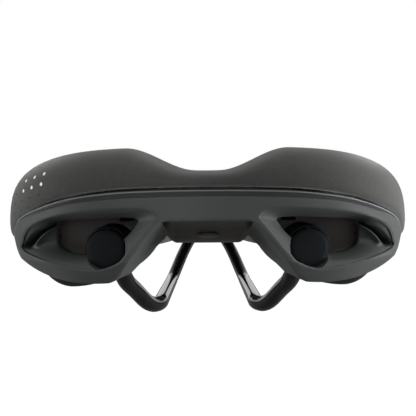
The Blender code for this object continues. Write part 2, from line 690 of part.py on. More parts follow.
def port_plug(under, finish):
    """The flanged plug in the trough's port, square to the sloping underside, and its hole's cutter."""
    z0, z1 = under(0, PORT_Y - 4), under(0, PORT_Y + 4)
    slope = math.atan2(z1 - z0, 8.0)
    across = np.array((1.0, 0, 0))
    along = np.array((0, math.cos(slope), math.sin(slope)))
    up = np.array((0, -math.sin(slope), math.cos(slope)))
    base = np.array((0, PORT_Y, under(0, PORT_Y)))
    seat = -GAP - 0.1
    outline = ((-PLUG_DEPTH, PLUG_CROWN), (-PLUG_EDGE, PLUG_FLANGE), (seat, PLUG_FLANGE),
               (seat, PLUG_STEM), (PLUG_RISE, PLUG_STEM))
    rings = []
    for height, radius in outline:
        turns = [2 * math.pi * (k + 0.5) / 24 for k in range(24)]
        middle = base + up * height
        rings.append([middle + radius * (math.cos(t) * across + math.sin(t) * along) for t in turns])
    plug = loft("port_plug", rings, finish)
    hole = round_bar("hole", base - up * 6, base + up * 9, PLUG_STEM + GAP, None, 24)
    return plug, hole


def build():
    clear_scene()
    skin = material("cover_fabric", (0.070, 0.070, 0.068), 0.8)
    foam = material("foam", (0.30, 0.30, 0.28), 0.95)
    shell = material("base_plastic", (0.045, 0.042, 0.038), 0.55)
    bumper = material("fascia_plastic", (0.056, 0.060, 0.060), 0.5)
    gloss = material("strip_gloss", (0.020, 0.024, 0.028), 0.15)
    wing = material("wing_plastic", (0.012, 0.013, 0.014), 0.45)
    bar = material("rail_enamel", (0.004, 0.004, 0.005), 0.12, 0.3)
    rubber = material("bush_rubber", (0.012, 0.012, 0.013), 0.8)
    cap = material("cap_plastic", (0.010, 0.012, 0.014), 0.6)
    nose = material("socket_plastic", (0.025, 0.025, 0.027), 0.5)
    steel = material("steel", (0.50, 0.50, 0.50), 0.3, 1.0)
    plug_finish = material("plug_plastic", (0.11, 0.105, 0.095), 0.4)

    seat = [cover(skin), foam_pad(foam)]
    base = base_shell(shell)
    under = surface_below(base)
    seat.append(rear_fascia(bumper, under))
    seat.append(trim_strip(gloss))
    seat.append(wing_cover("right_wing_cover", 1, under, wing))
    seat.append(wing_cover("left_wing_cover", -1, under, wing))
    plug, plug_hole = port_plug(under, plug_finish)
    screws, holes = fascia_screws(under, steel)
    combine(base, [plug_hole, *holes], "DIFFERENCE", shell)
    seat += [base, plug, *screws, *nose_socket(nose)]
    for k, y in enumerate(NOSE_SCREW_YS, 1):
        radii = (NOSE_SCREW_HEAD, NOSE_SCREW_SHANK)
        seat.append(screw(f"nose_screw_{k}", 0, y, NOSE_SCREW_HEAD_Z, NOSE_SCREW_TIP_Z, radii, steel))
    for name, side in (("right", 1), ("left", -1)):
        x = side * BUSH_X
        rail(f"{name}_rail", side, bar)
        tube(f"{name}_ferrule", x, BUSH_Z, FERRULE_Y, FERRULE_RADIUS, RAIL_RADIUS + BORE_CLEARANCE, steel)
        seat.append(tube(f"{name}_bush", x, BUSH_Z, BUSH_Y, BUSH_RADIUS, FERRULE_RADIUS + GAP, rubber))
        ends = [(x, y, BUSH_Z) for y in CAP_Y]
        seat.append(round_bar(f"{name}_bush_cap", *ends, BUSH_RADIUS, cap, 32, 0.3))
    hang_on_pivot(seat)


def fascia_screws(under, finish):
    """The screws that hold the fascia's tabs up to the base, and the cutters for their holes in it."""
    screws, holes = [], []
    for side in (1, -1):
        for x, y in SCREWS:
            head_z = tab_top(under, x, y) - TAB_THICKNESS - GAP - HEAD_HEIGHT
            plate = under(x, y)
            name = f"fascia_screw_{len(screws) + 1}"
            radii = (SCREW_HEAD, SCREW_SHANK)
            screws.append(screw(name, side * x, y, head_z, plate + SCREW_BITE, radii, finish))
            holes.append(screw_hole(side * x, y, plate - 4, plate + 6, SCREW_SHANK))
    return screws, holes


def hang_on_pivot(pieces):
    """Parent everything that flexes with the seat to an empty on the flexing axis."""
    pivot = bpy.data.objects.new("seat_pivot", None)
    pivot.location = [c * MM for c in PIVOT]
    bpy.context.collection.objects.link(pivot)
    bpy.context.view_layer.update()
    for piece in pieces:
        piece.parent = pivot
        piece.matrix_parent_inverse = pivot.matrix_world.inverted()


build()
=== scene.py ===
"""Looks of a bicycle saddle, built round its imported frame.

Lengths are in millimetres in the frame's own axes (origin at the seatpost clamp, +Y towards the
nose, +Z up), and are scaled once, when a mesh is made.
"""

import math

import bmesh
import bpy
import numpy as np
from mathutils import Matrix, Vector
from mathutils.bvhtree import BVHTree


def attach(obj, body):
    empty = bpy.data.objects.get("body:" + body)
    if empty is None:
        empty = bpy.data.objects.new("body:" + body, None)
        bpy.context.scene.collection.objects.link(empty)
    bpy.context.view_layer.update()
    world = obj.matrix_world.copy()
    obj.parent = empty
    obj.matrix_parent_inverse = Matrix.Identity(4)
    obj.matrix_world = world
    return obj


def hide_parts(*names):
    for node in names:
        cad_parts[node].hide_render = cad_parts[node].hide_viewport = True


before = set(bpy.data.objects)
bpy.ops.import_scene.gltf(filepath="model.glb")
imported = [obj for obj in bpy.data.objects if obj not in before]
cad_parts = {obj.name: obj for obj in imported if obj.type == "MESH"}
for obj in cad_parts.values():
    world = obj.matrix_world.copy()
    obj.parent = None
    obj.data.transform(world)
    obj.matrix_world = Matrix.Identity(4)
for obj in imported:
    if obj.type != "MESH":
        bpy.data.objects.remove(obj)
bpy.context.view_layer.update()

MM = 0.001
SEAT, RAILS = "seat", "rails"

# The rim, right half, from the rear centre to the nose: where the cover meets the base.
RIM = (
    (0, -127, 50.8), (16, -129, 50.6), (32, -130, 49.9), (47, -127, 48.0), (59, -120, 44.8),
    (68.5, -108, 41.0), (74.5, -94, 35.4), (77.3, -82, 32.0), (75.5, -66, 30.6), (67, -47, 30.0),
    (53, -26, 30.0), (41.5, -5, 30.0), (32, 16, 30.2), (26, 40, 30.6), (22.5, 66, 31.0),
    (20.5, 92, 31.5), (18, 118, 32.0), (13.5, 133, 32.5), (7, 139.5, 33.0), (0, 141, 33.0),
)
SPINE_REAR_Y, SPINE_NOSE_Y = -92, 112

# Cushion
CREST_Z = ((-131, 64.8), (-98, 65.4), (-70, 64.6), (-40, 61.8), (0, 58.8), (50, 57.4), (110, 56.0),
           (142, 53.0))
CREST_X = ((-131, 29), (-80, 29), (-40, 24), (0, 16), (40, 11), (142, 9))
DIP = ((-131, 8.0), (-60, 8.0), (-20, 7.4), (20, 5.6), (60, 3.0), (100, 0), (142, 0))
CHANNEL_FLOOR = 0.15  # the flat share of the channel's half width
ROUNDING = 2.5
ROLL_SHARE, NARROW_ROLL_SHARE, NARROW_REACH, NARROW_RUN = 0.56, 0.30, 60, 35
BULGE, BULGE_RISE = 1.6, 4.5
COVER_TUCK = 3.2
COVER_TURN_IN = ((-COVER_TUCK, 0.75), (-COVER_TUCK, 0.05), (-1.9, -0.15), (-0.6, -0.2), (0.25, -0.08),
                 (0.8, 0.35), (1.2, 1.2), (1.45, 2.5))  # distance out from the rim, height
COVER_STEPS = 264  # cross-sections round the rim
DOT_RADIUS, PORE_RADIUS, DOT_SIDES = 0.62, 0.3, 20
DOT_FIRST, DOT_STEP, DOT_DROP = (-55.2, 55.5), (-4.1, -1.0), (-1.0, -3.5)  # as (x, z), seen from behind
DOT_COUNT, DOT_ROWS, PORE_COUNT, PORE_ROWS = 3, 2, 9, (-1, 2, 3, 4)
DOT_DOME = ((1.0, -0.12), (1.0, 0.02), (0.8, 0.07), (0.4, 0.09))  # share of the radius, height
LEVEL = 0.93  # a normal's height past which the cover faces up or down, too flat for a dot
FOAM_INSET = 1.5

# Base
PLATE_THICKNESS = 2.6
RIM_DROP = 0.5
RIM_LOW_Z = 30.0
PLATE_Z = ((-131, 47.6), (-100, 47.0), (-60, 44.0), (-20, 40.0), (20, 38.0), (60, 37.0), (142, 36.5))
TROUGH_Z = ((-131, 41.5), (-100, 40.6), (-70, 38.8), (-40, 34.0), (-20, 30.0), (-5, 27.8), (15, 28.1),
            (40, 30.1), (70, 34.1), (95, 36.7), (142, 36.5))
TROUGH_HALF = ((-131, 14.5), (-80, 15.5), (-40, 16.0), (0, 16.0), (20, 13.0), (60, 7.0), (142, 6.0))
TROUGH_WALL = ((-131, 5), (-80, 5), (-35, 12), (20, 14), (60, 8), (142, 5))
SKIRT_DEPTH, SKIRT_WAIST_SHARE = 8.0, 0.5
SKIRT_START_Y, SKIRT_RUN = -82.0, 24.0
WAIST_START_Y, WAIST_RUN = -45.0, 30.0
REAR_INSET, SIDE_INSET = 4.0, 1.0
BASE_STEPS = 200

# Rails
RAIL_RADIUS = 3.5
CLAMP_HALF_GAUGE = 22.0
CLAMP_REAR_Y, CLAMP_FRONT_Y = -44, 40
RAIL_REAR = ((35.1, -116, 29.5), (35.1, -106.5, 29.5), (35.0, -99, 28.2), (34.6, -90, 22.3),
             (33.7, -80, 14.5), (30.7, -70, 8.7), (27.4, -60.5, 2.9), (24.9, -54.5, 0.5), (22.8, -49, 0.0))
RAIL_FRONT = ((21.7, 47, 0.9), (19.4, 55, 6.4), (16.4, 63, 13.6), (13.2, 71, 20.0), (10.2, 78.5, 24.7),
              (8.0, 85, 26.8), (7.5, 91, 27.0), (7.5, 98, 27.0), (7.5, 116, 27.0))
RAIL_SIDES, RAIL_STEPS = 40, 70

# Rear bushes
BUSH_X, BUSH_Z = 35.1, 29.5
FERRULE_RADIUS, BUSH_RADIUS, HOUSING_BORE, HOUSING_RADIUS = 4.8, 6.65, 7.0, 8.1
HOUSING_Y = (-121.5, -101.0)
BUSH_Y = (-117.3, -102.5)
CAP_Y = (-120.6, -117.8)

# Fascia
FASCIA_END_Y = -92.0
GAP = 0.35
FASCIA_BOTTOM = ((0, 38.9), (14.5, 38.9), (17, 37.2), (22, 31.0), (27, 24.5), (31, 19.6), (35, 17.5),
                 (42, 17.2), (50, 17.6), (55, 18.3), (60, 19.6), (66, 22.6), (71, 27.0), (74, 31.4),
                 (75.4, 35.0), (78, 38.0))
FASCIA_LEAN, LEAN_TOP_Z, LEAN_HEIGHT = 5.0, 49, 32
FOOT_Z, FOOT_LEAN, FOOT_POWER = 25.5, 0.55, 1.15  # the faster lean below the windows
FACE_SINK = 0.3  # the face's distance in from the rim
FACE_Z = 44  # the height at which the rim's own line is read off
FACE_END_X = 75.4
ARM_ROOT, ARM_FOOT = (15.2, -93.0, 33.4), (29.6, -95.0, 18.6)  # the front edge of an arm, at both ends
ARM_X = (15.9, 32.5)
STRIP_TOP, STRIP_BOTTOM, STRIP_TAPER = 0.9, 2.9, 1.0
WINDOW = ((66.5, 28.6), (66.8, 31.5), (62.6, 37.0), (52.7, 40.8), (37.6, 42.8), (22.5, 43.2),
          (17.6, 40.8), (19.5, 37.6), (27.4, 28.2), (31.4, 24.6), (39, 22.6), (51, 24.4))
OPENING = ((54.2, 31.0), (54.2, 37.6), (51.0, 39.6), (38, 40.4), (24.6, 40.2), (24.6, 37.4), (28.6, 33.0),
           (33, 29.5), (39, 27.6), (44.4, 27.2), (50.0, 28.2))
WINDOW_MIDDLE = (42.0, 33.5)
OPENING_DEPTH = 8.0
FLARE, FLARE_X, FLARE_RUN = 1.7, 54, 18
FILLET, TOP_FILLET = 0.8, 0.3
FUNNEL_STEPS = 44
SLOT_LINE = ((-0.2, 0.24), (0.03, 0.42), (0.18, 0.62), (0.34, 0.86))  # turn, share of the way in
SLOT_TURNS = (-0.22, 0.44)
SLOT_DEPTH, RIB_HEIGHT = 4.6, 1.5
CAP_POCKET = 7.1
CENTRE_HALF = 13.0  # the plain centre of the face, between the arms

# Wing covers
WING_OUTLINE = ((21.5, -58), (23.5, -74), (31, -85), (42, -91.5), (54, -95), (64, -92), (69.5, -81),
                (68, -66), (60, -47), (47.5, -28), (37.5, -13), (28, -20), (22, -38))
WING_CENTRE = (55.5, -74.0)
WING_LOW_Z, WING_THICKNESS, WING_RIM_DROP = 11.2, 1.8, 1.8


# ---------------------------------------------------------------- curves

def profile(table, at):
    """A smooth curve through the table's (place, value) pairs, without overshoot."""
    places, values = np.array(table, float).T
    steps = np.diff(places)
    slopes = np.diff(values) / steps
    tangents = np.zeros(len(places))
    rising = slopes[:-1] * slopes[1:] > 0
    tangents[1:-1][rising] = 2 * slopes[:-1][rising] * slopes[1:][rising] / (slopes[:-1] + slopes[1:])[rising]
    at = min(max(at, places[0]), places[-1])
    i = min(int(np.searchsorted(places, at, side="right")) - 1, len(steps) - 1)
    f = (at - places[i]) / steps[i]
    return float(
        values[i] * (1 + 2 * f) * (1 - f) ** 2
        + steps[i] * tangents[i] * f * (1 - f) ** 2
        + values[i + 1] * f * f * (3 - 2 * f)
        + steps[i] * tangents[i + 1] * f * f * (f - 1)
    )


def ease(f):
    """A smooth step from 0 to 1."""
    f = min(max(f, 0.0), 1.0)
    return f * f * (3 - 2 * f)


def hump(f, middle, width):
    """A bell curve, 1 high."""
    return math.exp(-(((f - middle) / width) ** 2))


def spline(points, closed, per_span=16):
    """Catmull-Rom curve through the points, sampled finely."""
    pts = np.array(points, float)
    n = len(pts)
    fine = []
    for i in range(n if closed else n - 1):
        if closed:
            a, b, c, d = (pts[(i + k) % n] for k in (-1, 0, 1, 2))
        else:
            a, b, c, d = (pts[min(max(i + k, 0), n - 1)] for k in (-1, 0, 1, 2))
        for step in range(per_span):
            f = step / per_span
            fine.append(b + 0.5 * f * (c - a + f * (2 * a - 5 * b + 4 * c - d + f * (3 * (b - c) + d - a))))
    fine.append(fine[0] if closed else pts[-1])
    return np.array(fine)


def resample(fine, count, closed):
    """The curve's points at even distances; a closed curve's last point isn't repeated."""
    along = np.concatenate([[0], np.cumsum(np.linalg.norm(np.diff(fine, axis=0), axis=1))])
    wanted = np.linspace(0, along[-1], count + 1 if closed else count)
    if closed:
        wanted = wanted[:-1]
    return np.stack([np.interp(wanted, along, fine[:, k]) for k in range(fine.shape[1])], axis=1)


def rim_line(count):
    """The closed rim, as evenly spaced points."""
    left = [(-x, y, z) for x, y, z in RIM[-2:0:-1]]
    return resample(spline(list(RIM) + left, True), count, True)


def outward(line):
    """Unit normals of the closed rim in plan, pointing away from the saddle's middle."""
    ahead = np.roll(line, -1, axis=0) - np.roll(line, 1, axis=0)
    normals = np.stack([ahead[:, 1], -ahead[:, 0]], axis=1)
    return normals / np.linalg.norm(normals, axis=1)[:, None]


def spoke(point):
    """The place on the centre line that a rim point's section runs to."""
    return np.array([0.0, min(max(point[1], SPINE_REAR_Y), SPINE_NOSE_Y)])


def top_z(x, y):
    """Height of the cushion's top: a crest at each side and a channel between them."""
    crest = profile(CREST_X, y)
    channel = 1 - ease((abs(x) / crest - CHANNEL_FLOOR) / (1 - CHANNEL_FLOOR))
    return profile(CREST_Z, y) - profile(DIP, y) * channel


def plate_z(x, y):
    """Height of the base's plate, with its trough down the middle."""
    wall = ease((abs(x) - profile(TROUGH_HALF, y)) / profile(TROUGH_WALL, y))
    low = min(profile(TROUGH_Z, y), profile(PLATE_Z, y))
    return low + (profile(PLATE_Z, y) - low) * wall


def plate_top(rim, d, reach, x, y):
    """Height of the base's upper side, a distance d in from the rim."""
    blend = min(max(0.3 * reach, 4.0), 20.0)
    edge = rim[2] - RIM_DROP
    return edge + (plate_z(x, y) - edge) * ease((d - 4.0) / blend)


def bulge_rise(rim):
    """How far above the rim the cushion is widest."""
    return min(BULGE_RISE, 0.35 * (top_z(rim[0], rim[1]) - rim[2]))


# ---------------------------------------------------------------- meshes

def piece(name, points, faces, finish, angle=50, weld=1e-6):
    """A smooth-shaded mesh object from points in millimetres."""
    mesh = bpy.data.meshes.new(name)
    mesh.from_pydata([tuple(c * MM for c in p) for p in points], [], faces)
    shape = bmesh.new()
    shape.from_mesh(mesh)
    bmesh.ops.remove_doubles(shape, verts=shape.verts, dist=weld)
    bmesh.ops.dissolve_degenerate(shape, edges=shape.edges, dist=1e-7)
    bmesh.ops.recalc_face_normals(shape, faces=shape.faces)
    shape.to_mesh(mesh)
    shape.free()
    made = bpy.data.objects.new(name, mesh)
    bpy.context.collection.objects.link(made)
    mesh.materials.append(finish)
    mesh.shade_smooth()
    mesh.set_sharp_from_angle(angle=math.radians(angle))
    return made


def grid_faces(rows, columns, closed_rows, closed_columns):
    """Quads between the points of a grid, numbered row by row."""
    faces = []
    for r in range(rows if closed_rows else rows - 1):
        for c in range(columns if closed_columns else columns - 1):
            r2, c2 = (r + 1) % rows, (c + 1) % columns
            faces.append((r * columns + c, r * columns + c2, r2 * columns + c2, r2 * columns + c))
    return faces


def wrapped(name, sections, finish, angle=50):
    """A skin through half sections that start or end on the centre line, where both halves meet."""
    points = np.concatenate([np.array(s) for s in sections])
    return piece(name, points, grid_faces(len(sections), len(sections[0]), True, False), finish, angle)


def loft(name, sections, finish, angle=50):
    """A closed solid through equal closed sections, capped at its ends."""
    columns = len(sections[0])
    points = np.concatenate([np.asarray(s, float) for s in sections])
    faces = grid_faces(len(sections), columns, False, True)
    faces.append(tuple(range(columns)))
    faces.append(tuple(range(len(points) - 1, len(points) - 1 - columns, -1)))
    return piece(name, points, faces, finish, angle)


def turned(name, x, z, outline, finish, sides=72, angle=35):
    """A body turned about an axis along Y: the outline is a closed run of (radius, y) pairs."""
    rings = []
    for k in range(sides):
        turn = 2 * math.pi * k / sides
        rings.append([(x + r * math.cos(turn), y, z + r * math.sin(turn)) for r, y in outline])
    points = np.concatenate([np.array(r) for r in rings])
    return piece(name, points, grid_faces(sides, len(outline), True, True), finish, angle)


def rounded(corners, radius, steps=4):
    """A closed run of (radius, y) corners with each corner rounded off."""
    out = []
    n = len(corners)
    for i in range(n):
        before, here, after = (np.array(corners[(i + k) % n], float) for k in (-1, 0, 1))
        cut = min(radius, np.linalg.norm(before - here) / 2.1, np.linalg.norm(after - here) / 2.1)
        if here[0] <= 0:
            out.append(tuple(here))
            continue
        start = here + (before - here) / np.linalg.norm(before - here) * cut
        end = here + (after - here) / np.linalg.norm(after - here) * cut
        for k in range(steps + 1):
            f = k / steps
            out.append(tuple((1 - f) ** 2 * start + 2 * f * (1 - f) * here + f * f * end))
    return out


# ---------------------------------------------------------------- finishes

def graph(name, colour, roughness, metallic=0.0):
    """A new node material, and its object coordinates."""
    made = bpy.data.materials.new(name)
    made.use_nodes = True
    tree = made.node_tree
    shader = tree.nodes["Principled BSDF"]
    shader.inputs["Base Color"].default_value = (*colour, 1)
    shader.inputs["Roughness"].default_value = roughness
    shader.inputs["Metallic"].default_value = metallic
    place = tree.nodes.new("ShaderNodeTexCoord").outputs["Object"]
    return made, tree, shader, place


def noise(tree, place, size_mm, detail=3.0, rough=0.55, stretch=None):
    if stretch:
        mapped = tree.nodes.new("ShaderNodeMapping")
        mapped.inputs["Scale"].default_value = stretch
        tree.links.new(place, mapped.inputs["Vector"])
        place = mapped.outputs["Vector"]
    made = tree.nodes.new("ShaderNodeTexNoise")
    made.inputs["Scale"].default_value = 1 / (size_mm * MM)
    made.inputs["Detail"].default_value = detail
    made.inputs["Roughness"].default_value = rough
    tree.links.new(place, made.inputs["Vector"])
    return made.outputs["Fac"]


def cells(tree, place, size_mm, feature="F1"):
    made = tree.nodes.new("ShaderNodeTexVoronoi")
    made.feature = feature
    made.inputs["Scale"].default_value = 1 / (size_mm * MM)
    tree.links.new(place, made.inputs["Vector"])
    return made.outputs["Distance"]


def ranged(tree, value, from_low, from_high, to_low, to_high):
    made = tree.nodes.new("ShaderNodeMapRange")
    made.inputs["From Min"].default_value = from_low
    made.inputs["From Max"].default_value = from_high
    made.inputs["To Min"].default_value = to_low
    made.inputs["To Max"].default_value = to_high
    tree.links.new(value, made.inputs["Value"])
    return made.outputs["Result"]


def blended(tree, factor, low, high):
    """A colour that runs from low to high as the factor runs from 0 to 1."""
    made = tree.nodes.new("ShaderNodeValToRGB")
    made.color_ramp.elements[0].color = (*low, 1)
    made.color_ramp.elements[1].color = (*high, 1)
    tree.links.new(factor, made.inputs["Fac"])
    return made.outputs["Color"]


def bumped(tree, shader, height, depth_mm, strength=1.0, under=None):
    made = tree.nodes.new("ShaderNodeBump")
    made.inputs["Distance"].default_value = depth_mm * MM
    made.inputs["Strength"].default_value = strength
    tree.links.new(height, made.inputs["Height"])
    if under:
        tree.links.new(under, made.inputs["Normal"])
    tree.links.new(made.outputs["Normal"], shader.inputs["Normal"])
    return made.outputs["Normal"]


def scaled(colour, factor):
    """The colour, lighter or darker."""
    return tuple(c * factor for c in colour)


def moulded(name, colour, roughness, grain_mm=0.35, depth_mm=0.03, spread=0.12, coat=0.0):
    """Moulded plastic: a fine spark-eroded grain, faint flow clouding, and slightly polished highs."""
    made, tree, shader, place = graph(name, colour, roughness)
    cloud = noise(tree, place, 26, 3)
    tree.links.new(blended(tree, ranged(tree, cloud, 0.35, 0.65, 0, 1), scaled(colour, 1 - spread),
                           scaled(colour, 1 + spread)), shader.inputs["Base Color"])
    grain = noise(tree, place, grain_mm, 4, 0.6)
    uneven = ranged(tree, grain, 0.3, 0.7, roughness - 0.07, roughness + 0.09)
    tree.links.new(uneven, shader.inputs["Roughness"])
    bumped(tree, shader, grain, depth_mm, 0.8)
    if coat:
        shader.inputs["Coat Weight"].default_value = coat
        shader.inputs["Coat Roughness"].default_value = 0.08
    return made


def painted_shade_below(name, below, above, roughness):
    """Moulded plastic, black underneath and grey higher up, behind the windows: the black underneath is
    painted shade, the grey is the plastic's own colour.
    """
    made, tree, shader, place = graph(name, below, roughness)
    part = tree.nodes.new("ShaderNodeSeparateXYZ")
    tree.links.new(place, part.inputs["Vector"])
    # black below 20 mm blending to grey above 26 mm; the black is painted shade under the wing
    higher = ranged(tree, part.outputs["Z"], 0.020, 0.026, 0.0, 1.0)
    tree.links.new(blended(tree, higher, below, above), shader.inputs["Base Color"])
    bumped(tree, shader, noise(tree, place, 0.4), 0.02)
    return made


def microfibre(name, colour):
    """Fine matte synthetic leather: tiny pebbled grain with soft pores, and a faint nap."""
    made, tree, shader, place = graph(name, colour, 0.72)
    cloud = noise(tree, place, 34, 3)
    mottle = noise(tree, place, 1.3, 4, 0.6)
    soft = tree.nodes.new("ShaderNodeMath")
    soft.operation = "ADD"
    tree.links.new(cloud, soft.inputs[0])
    tree.links.new(mottle, soft.inputs[1])
    tree.links.new(blended(tree, ranged(tree, soft.outputs[0], 0.72, 1.28, 0, 1), scaled(colour, 0.88),
                           scaled(colour, 1.13)), shader.inputs["Base Color"])
    pebble = cells(tree, place, 0.75)
    fibre = noise(tree, place, 0.22, 3, 0.6)
    tree.links.new(ranged(tree, fibre, 0.3, 0.7, 0.66, 0.84), shader.inputs["Roughness"])
    first = bumped(tree, shader, pebble, 0.05, 0.55)
    bumped(tree, shader, fibre, 0.03, 0.5, under=first)
    shader.inputs["Sheen Weight"].default_value = 0.22
    shader.inputs["Sheen Roughness"].default_value = 0.45
    shader.inputs["Sheen Tint"].default_value = (0.9, 0.9, 0.88, 1)
    shader.inputs["Specular IOR Level"].default_value = 0.32
    return made


def enamel(name, colour):
    """Gloss black paint on round bar: orange peel, hair scratches along the bar, and a hard coat."""
    made, tree, shader, place = graph(name, colour, 0.2)
    peel = noise(tree, place, 1.6, 2)
    drawn = noise(tree, place, 0.25, 3, 0.6, stretch=(1, 0.04, 1))
    tree.links.new(ranged(tree, drawn, 0.35, 0.75, 0.10, 0.26), shader.inputs["Roughness"])
    tree.links.new(blended(tree, drawn, scaled(colour, 0.7), scaled(colour, 1.6)),
                   shader.inputs["Base Color"])
    bumped(tree, shader, peel, 0.012, 0.5)
    shader.inputs["Coat Weight"].default_value = 1.0
    shader.inputs["Coat Roughness"].default_value = 0.05
    return made


def rubbery(name, colour):
    """Black elastomer with a dusty bloom."""
    made, tree, shader, place = graph(name, colour, 0.85)
    dust = noise(tree, place, 5, 4, 0.65)
    tree.links.new(blended(tree, ranged(tree, dust, 0.4, 0.7, 0, 1), colour, scaled(colour, 1.7)),
                   shader.inputs["Base Color"])
    grain = noise(tree, place, 0.3, 3)
    tree.links.new(ranged(tree, grain, 0.3, 0.7, 0.75, 0.92), shader.inputs["Roughness"])
    bumped(tree, shader, grain, 0.04, 0.7)
    return made


def plated(name, colour):
    """Zinc-plated steel: turned marks, and dull patches in the plating."""
    made, tree, shader, place = graph(name, colour, 0.3, 1.0)
    patch = noise(tree, place, 2.2, 4, 0.6)
    marks = noise(tree, place, 0.12, 2, 0.5, stretch=(1, 1, 6))
    tree.links.new(blended(tree, ranged(tree, patch, 0.35, 0.7, 0, 1), scaled(colour, 0.75), colour),
                   shader.inputs["Base Color"])
    tree.links.new(ranged(tree, patch, 0.3, 0.7, 0.22, 0.42), shader.inputs["Roughness"])
    bumped(tree, shader, marks, 0.01, 0.5)
    return made


def foamed(name, colour):
    """Moulded polyurethane foam: a closed skin pocked with small open cells."""
    made, tree, shader, place = graph(name, colour, 0.95)
    pits = cells(tree, place, 1.4, "SMOOTH_F1")
    # the pits are darker: painted shade in the open cells
    tree.links.new(blended(tree, ranged(tree, pits, 0.1, 0.6, 0, 1), scaled(colour, 0.55), colour),
                   shader.inputs["Base Color"])
    fine = noise(tree, place, 0.5, 3)
    tree.links.new(ranged(tree, fine, 0.3, 0.7, 0.88, 1.0), shader.inputs["Roughness"])
    bumped(tree, shader, pits, 0.4, 0.7)
    return made


FINISH = {
    "cover": microfibre("cover_microfibre", (0.045, 0.045, 0.0435)),
    "dot": moulded("dot_reflective", (0.62, 0.63, 0.62), 0.35, 0.2, 0.02),
    # the perforations' near-black is painted shade standing in for the holes
    "pore": moulded("pore_painted_shade", (0.006, 0.006, 0.006), 0.8, 0.3, 0.03),
    "foam": foamed("foam_cells", (0.34, 0.33, 0.29)),
    "base": moulded("base_plastic_fine", (0.085, 0.078, 0.068), 0.5, 0.5, 0.03, 0.15),
    "fascia": moulded("fascia_plastic_grained", (0.056, 0.060, 0.059), 0.46, 0.3, 0.03, 0.06),
    "strip": moulded("strip_gloss_black", (0.034, 0.036, 0.038), 0.36, 1.2, 0.006, 0.1, coat=0.15),
    # the bead's light grey is a painted highlight: the bright line along the strip's top edge
    "bead": moulded("strip_bead_painted_highlight", (0.15, 0.155, 0.16), 0.4, 0.4, 0.004, 0.1),
    # the wing bowls: black below as painted shade, grey above as the plastic's own colour
    "wing": painted_shade_below("wing_plastic_two_tone", (0.014, 0.015, 0.016), (0.17, 0.16, 0.148), 0.45),
    "rail": enamel("rail_gloss_enamel", (0.0012, 0.0013, 0.0016)),
    "rubber": rubbery("bush_elastomer", (0.012, 0.012, 0.013)),
    "cap": moulded("cap_plastic_matte", (0.0095, 0.0112, 0.0130), 0.62, 0.35, 0.04, 0.1),
    "socket": moulded("socket_plastic_black", (0.022, 0.022, 0.024), 0.5, 0.35, 0.03, 0.1),
    "plug": moulded("plug_plastic_grey", (0.17, 0.16, 0.145), 0.42, 0.4, 0.02, 0.1),
    "steel": plated("ferrule_zinc", (0.55, 0.55, 0.54)),
    "screw": plated("screw_black_zinc", (0.045, 0.045, 0.05)),
}


# ---------------------------------------------------------------- cushion

def cushion(steps, shrink, roll_steps, inner_steps):
    """Rim points, their normals, and sections from the cushion's widest line to the centre line."""
    line = rim_line(steps)
    normals = outward(line)
    sections = []
    for rim, normal in zip(line, normals):
        edge = rim[:2] + normal * (BULGE - shrink)
        edge_z = rim[2] + bulge_rise(rim)
        centre = spoke(rim)
        reach = np.linalg.norm(edge - centre)
        roll = reach * (ROLL_SHARE + NARROW_ROLL_SHARE * ease((NARROW_REACH - reach) / NARROW_RUN))
        distances = [roll * (k / roll_steps) ** 2.2 for k in range(roll_steps + 1)]
        distances += [roll + (reach - roll) * k / inner_steps for k in range(1, inner_steps + 1)]
        section = []
        for d in distances:
            x, y = edge + (centre - edge) * d / reach
            full = (1 - (1 - min(d / roll, 1)) ** ROUNDING) ** (1 / ROUNDING)
            section.append((x, y, edge_z + (top_z(x, y) - edge_z) * full - shrink * min(1, 2.2 * full)))
        sections.append(section)
    return line, normals, sections


def make_cover():
    """The skin: pulled over the foam, rolled under its edge and turned in to the groove."""
    line, normals, tops = cushion(COVER_STEPS, 0.0, 24, 16)
    sections = []
    for rim, normal, top in zip(line, normals, tops):
        rise = bulge_rise(rim) / BULGE_RISE
        lower = [(*(rim[:2] + normal * out), rim[2] + (up * rise if up > 1 else up))
                 for out, up in COVER_TURN_IN]
        sections.append(lower + top)
    made = wrapped("cover_skin", sections, FINISH["cover"], 80)
    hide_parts("cover")
    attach(made, SEAT)
    return made


def on_cover(tree, x, z):
    """Where a line run straight forward from behind the saddle, at this x and height, meets the cover."""
    return tree.ray_cast(Vector((x, -300, z)) * MM, Vector((0, 1, 0)))[:2]


def tree_of(thing):
    """A search tree of a mesh object's faces."""
    shape = bmesh.new()
    shape.from_mesh(thing.data)
    tree = BVHTree.FromBMesh(shape)
    shape.free()
    return tree


def dome(centre, out, radius, start):
    """The points and faces of one low closed dome, standing on the cover."""
    side = np.cross(out, (0, 0, 1.0))
    side /= np.linalg.norm(side)
    up = np.cross(side, out)
    points = []
    for grow, lift in DOT_DOME:
        for k in range(DOT_SIDES):
            turn = 2 * math.pi * k / DOT_SIDES
            round_it = math.cos(turn) * side + math.sin(turn) * up
            points.append(centre + out * lift + radius * grow * round_it)
    faces = [tuple(start + i for i in f) for f in grid_faces(len(DOT_DOME), DOT_SIDES, False, True)]
    faces.append(tuple(start + i for i in range(DOT_SIDES)))
    faces.append(tuple(start + len(points) - 1 - i for i in range(DOT_SIDES)))
    return points, faces


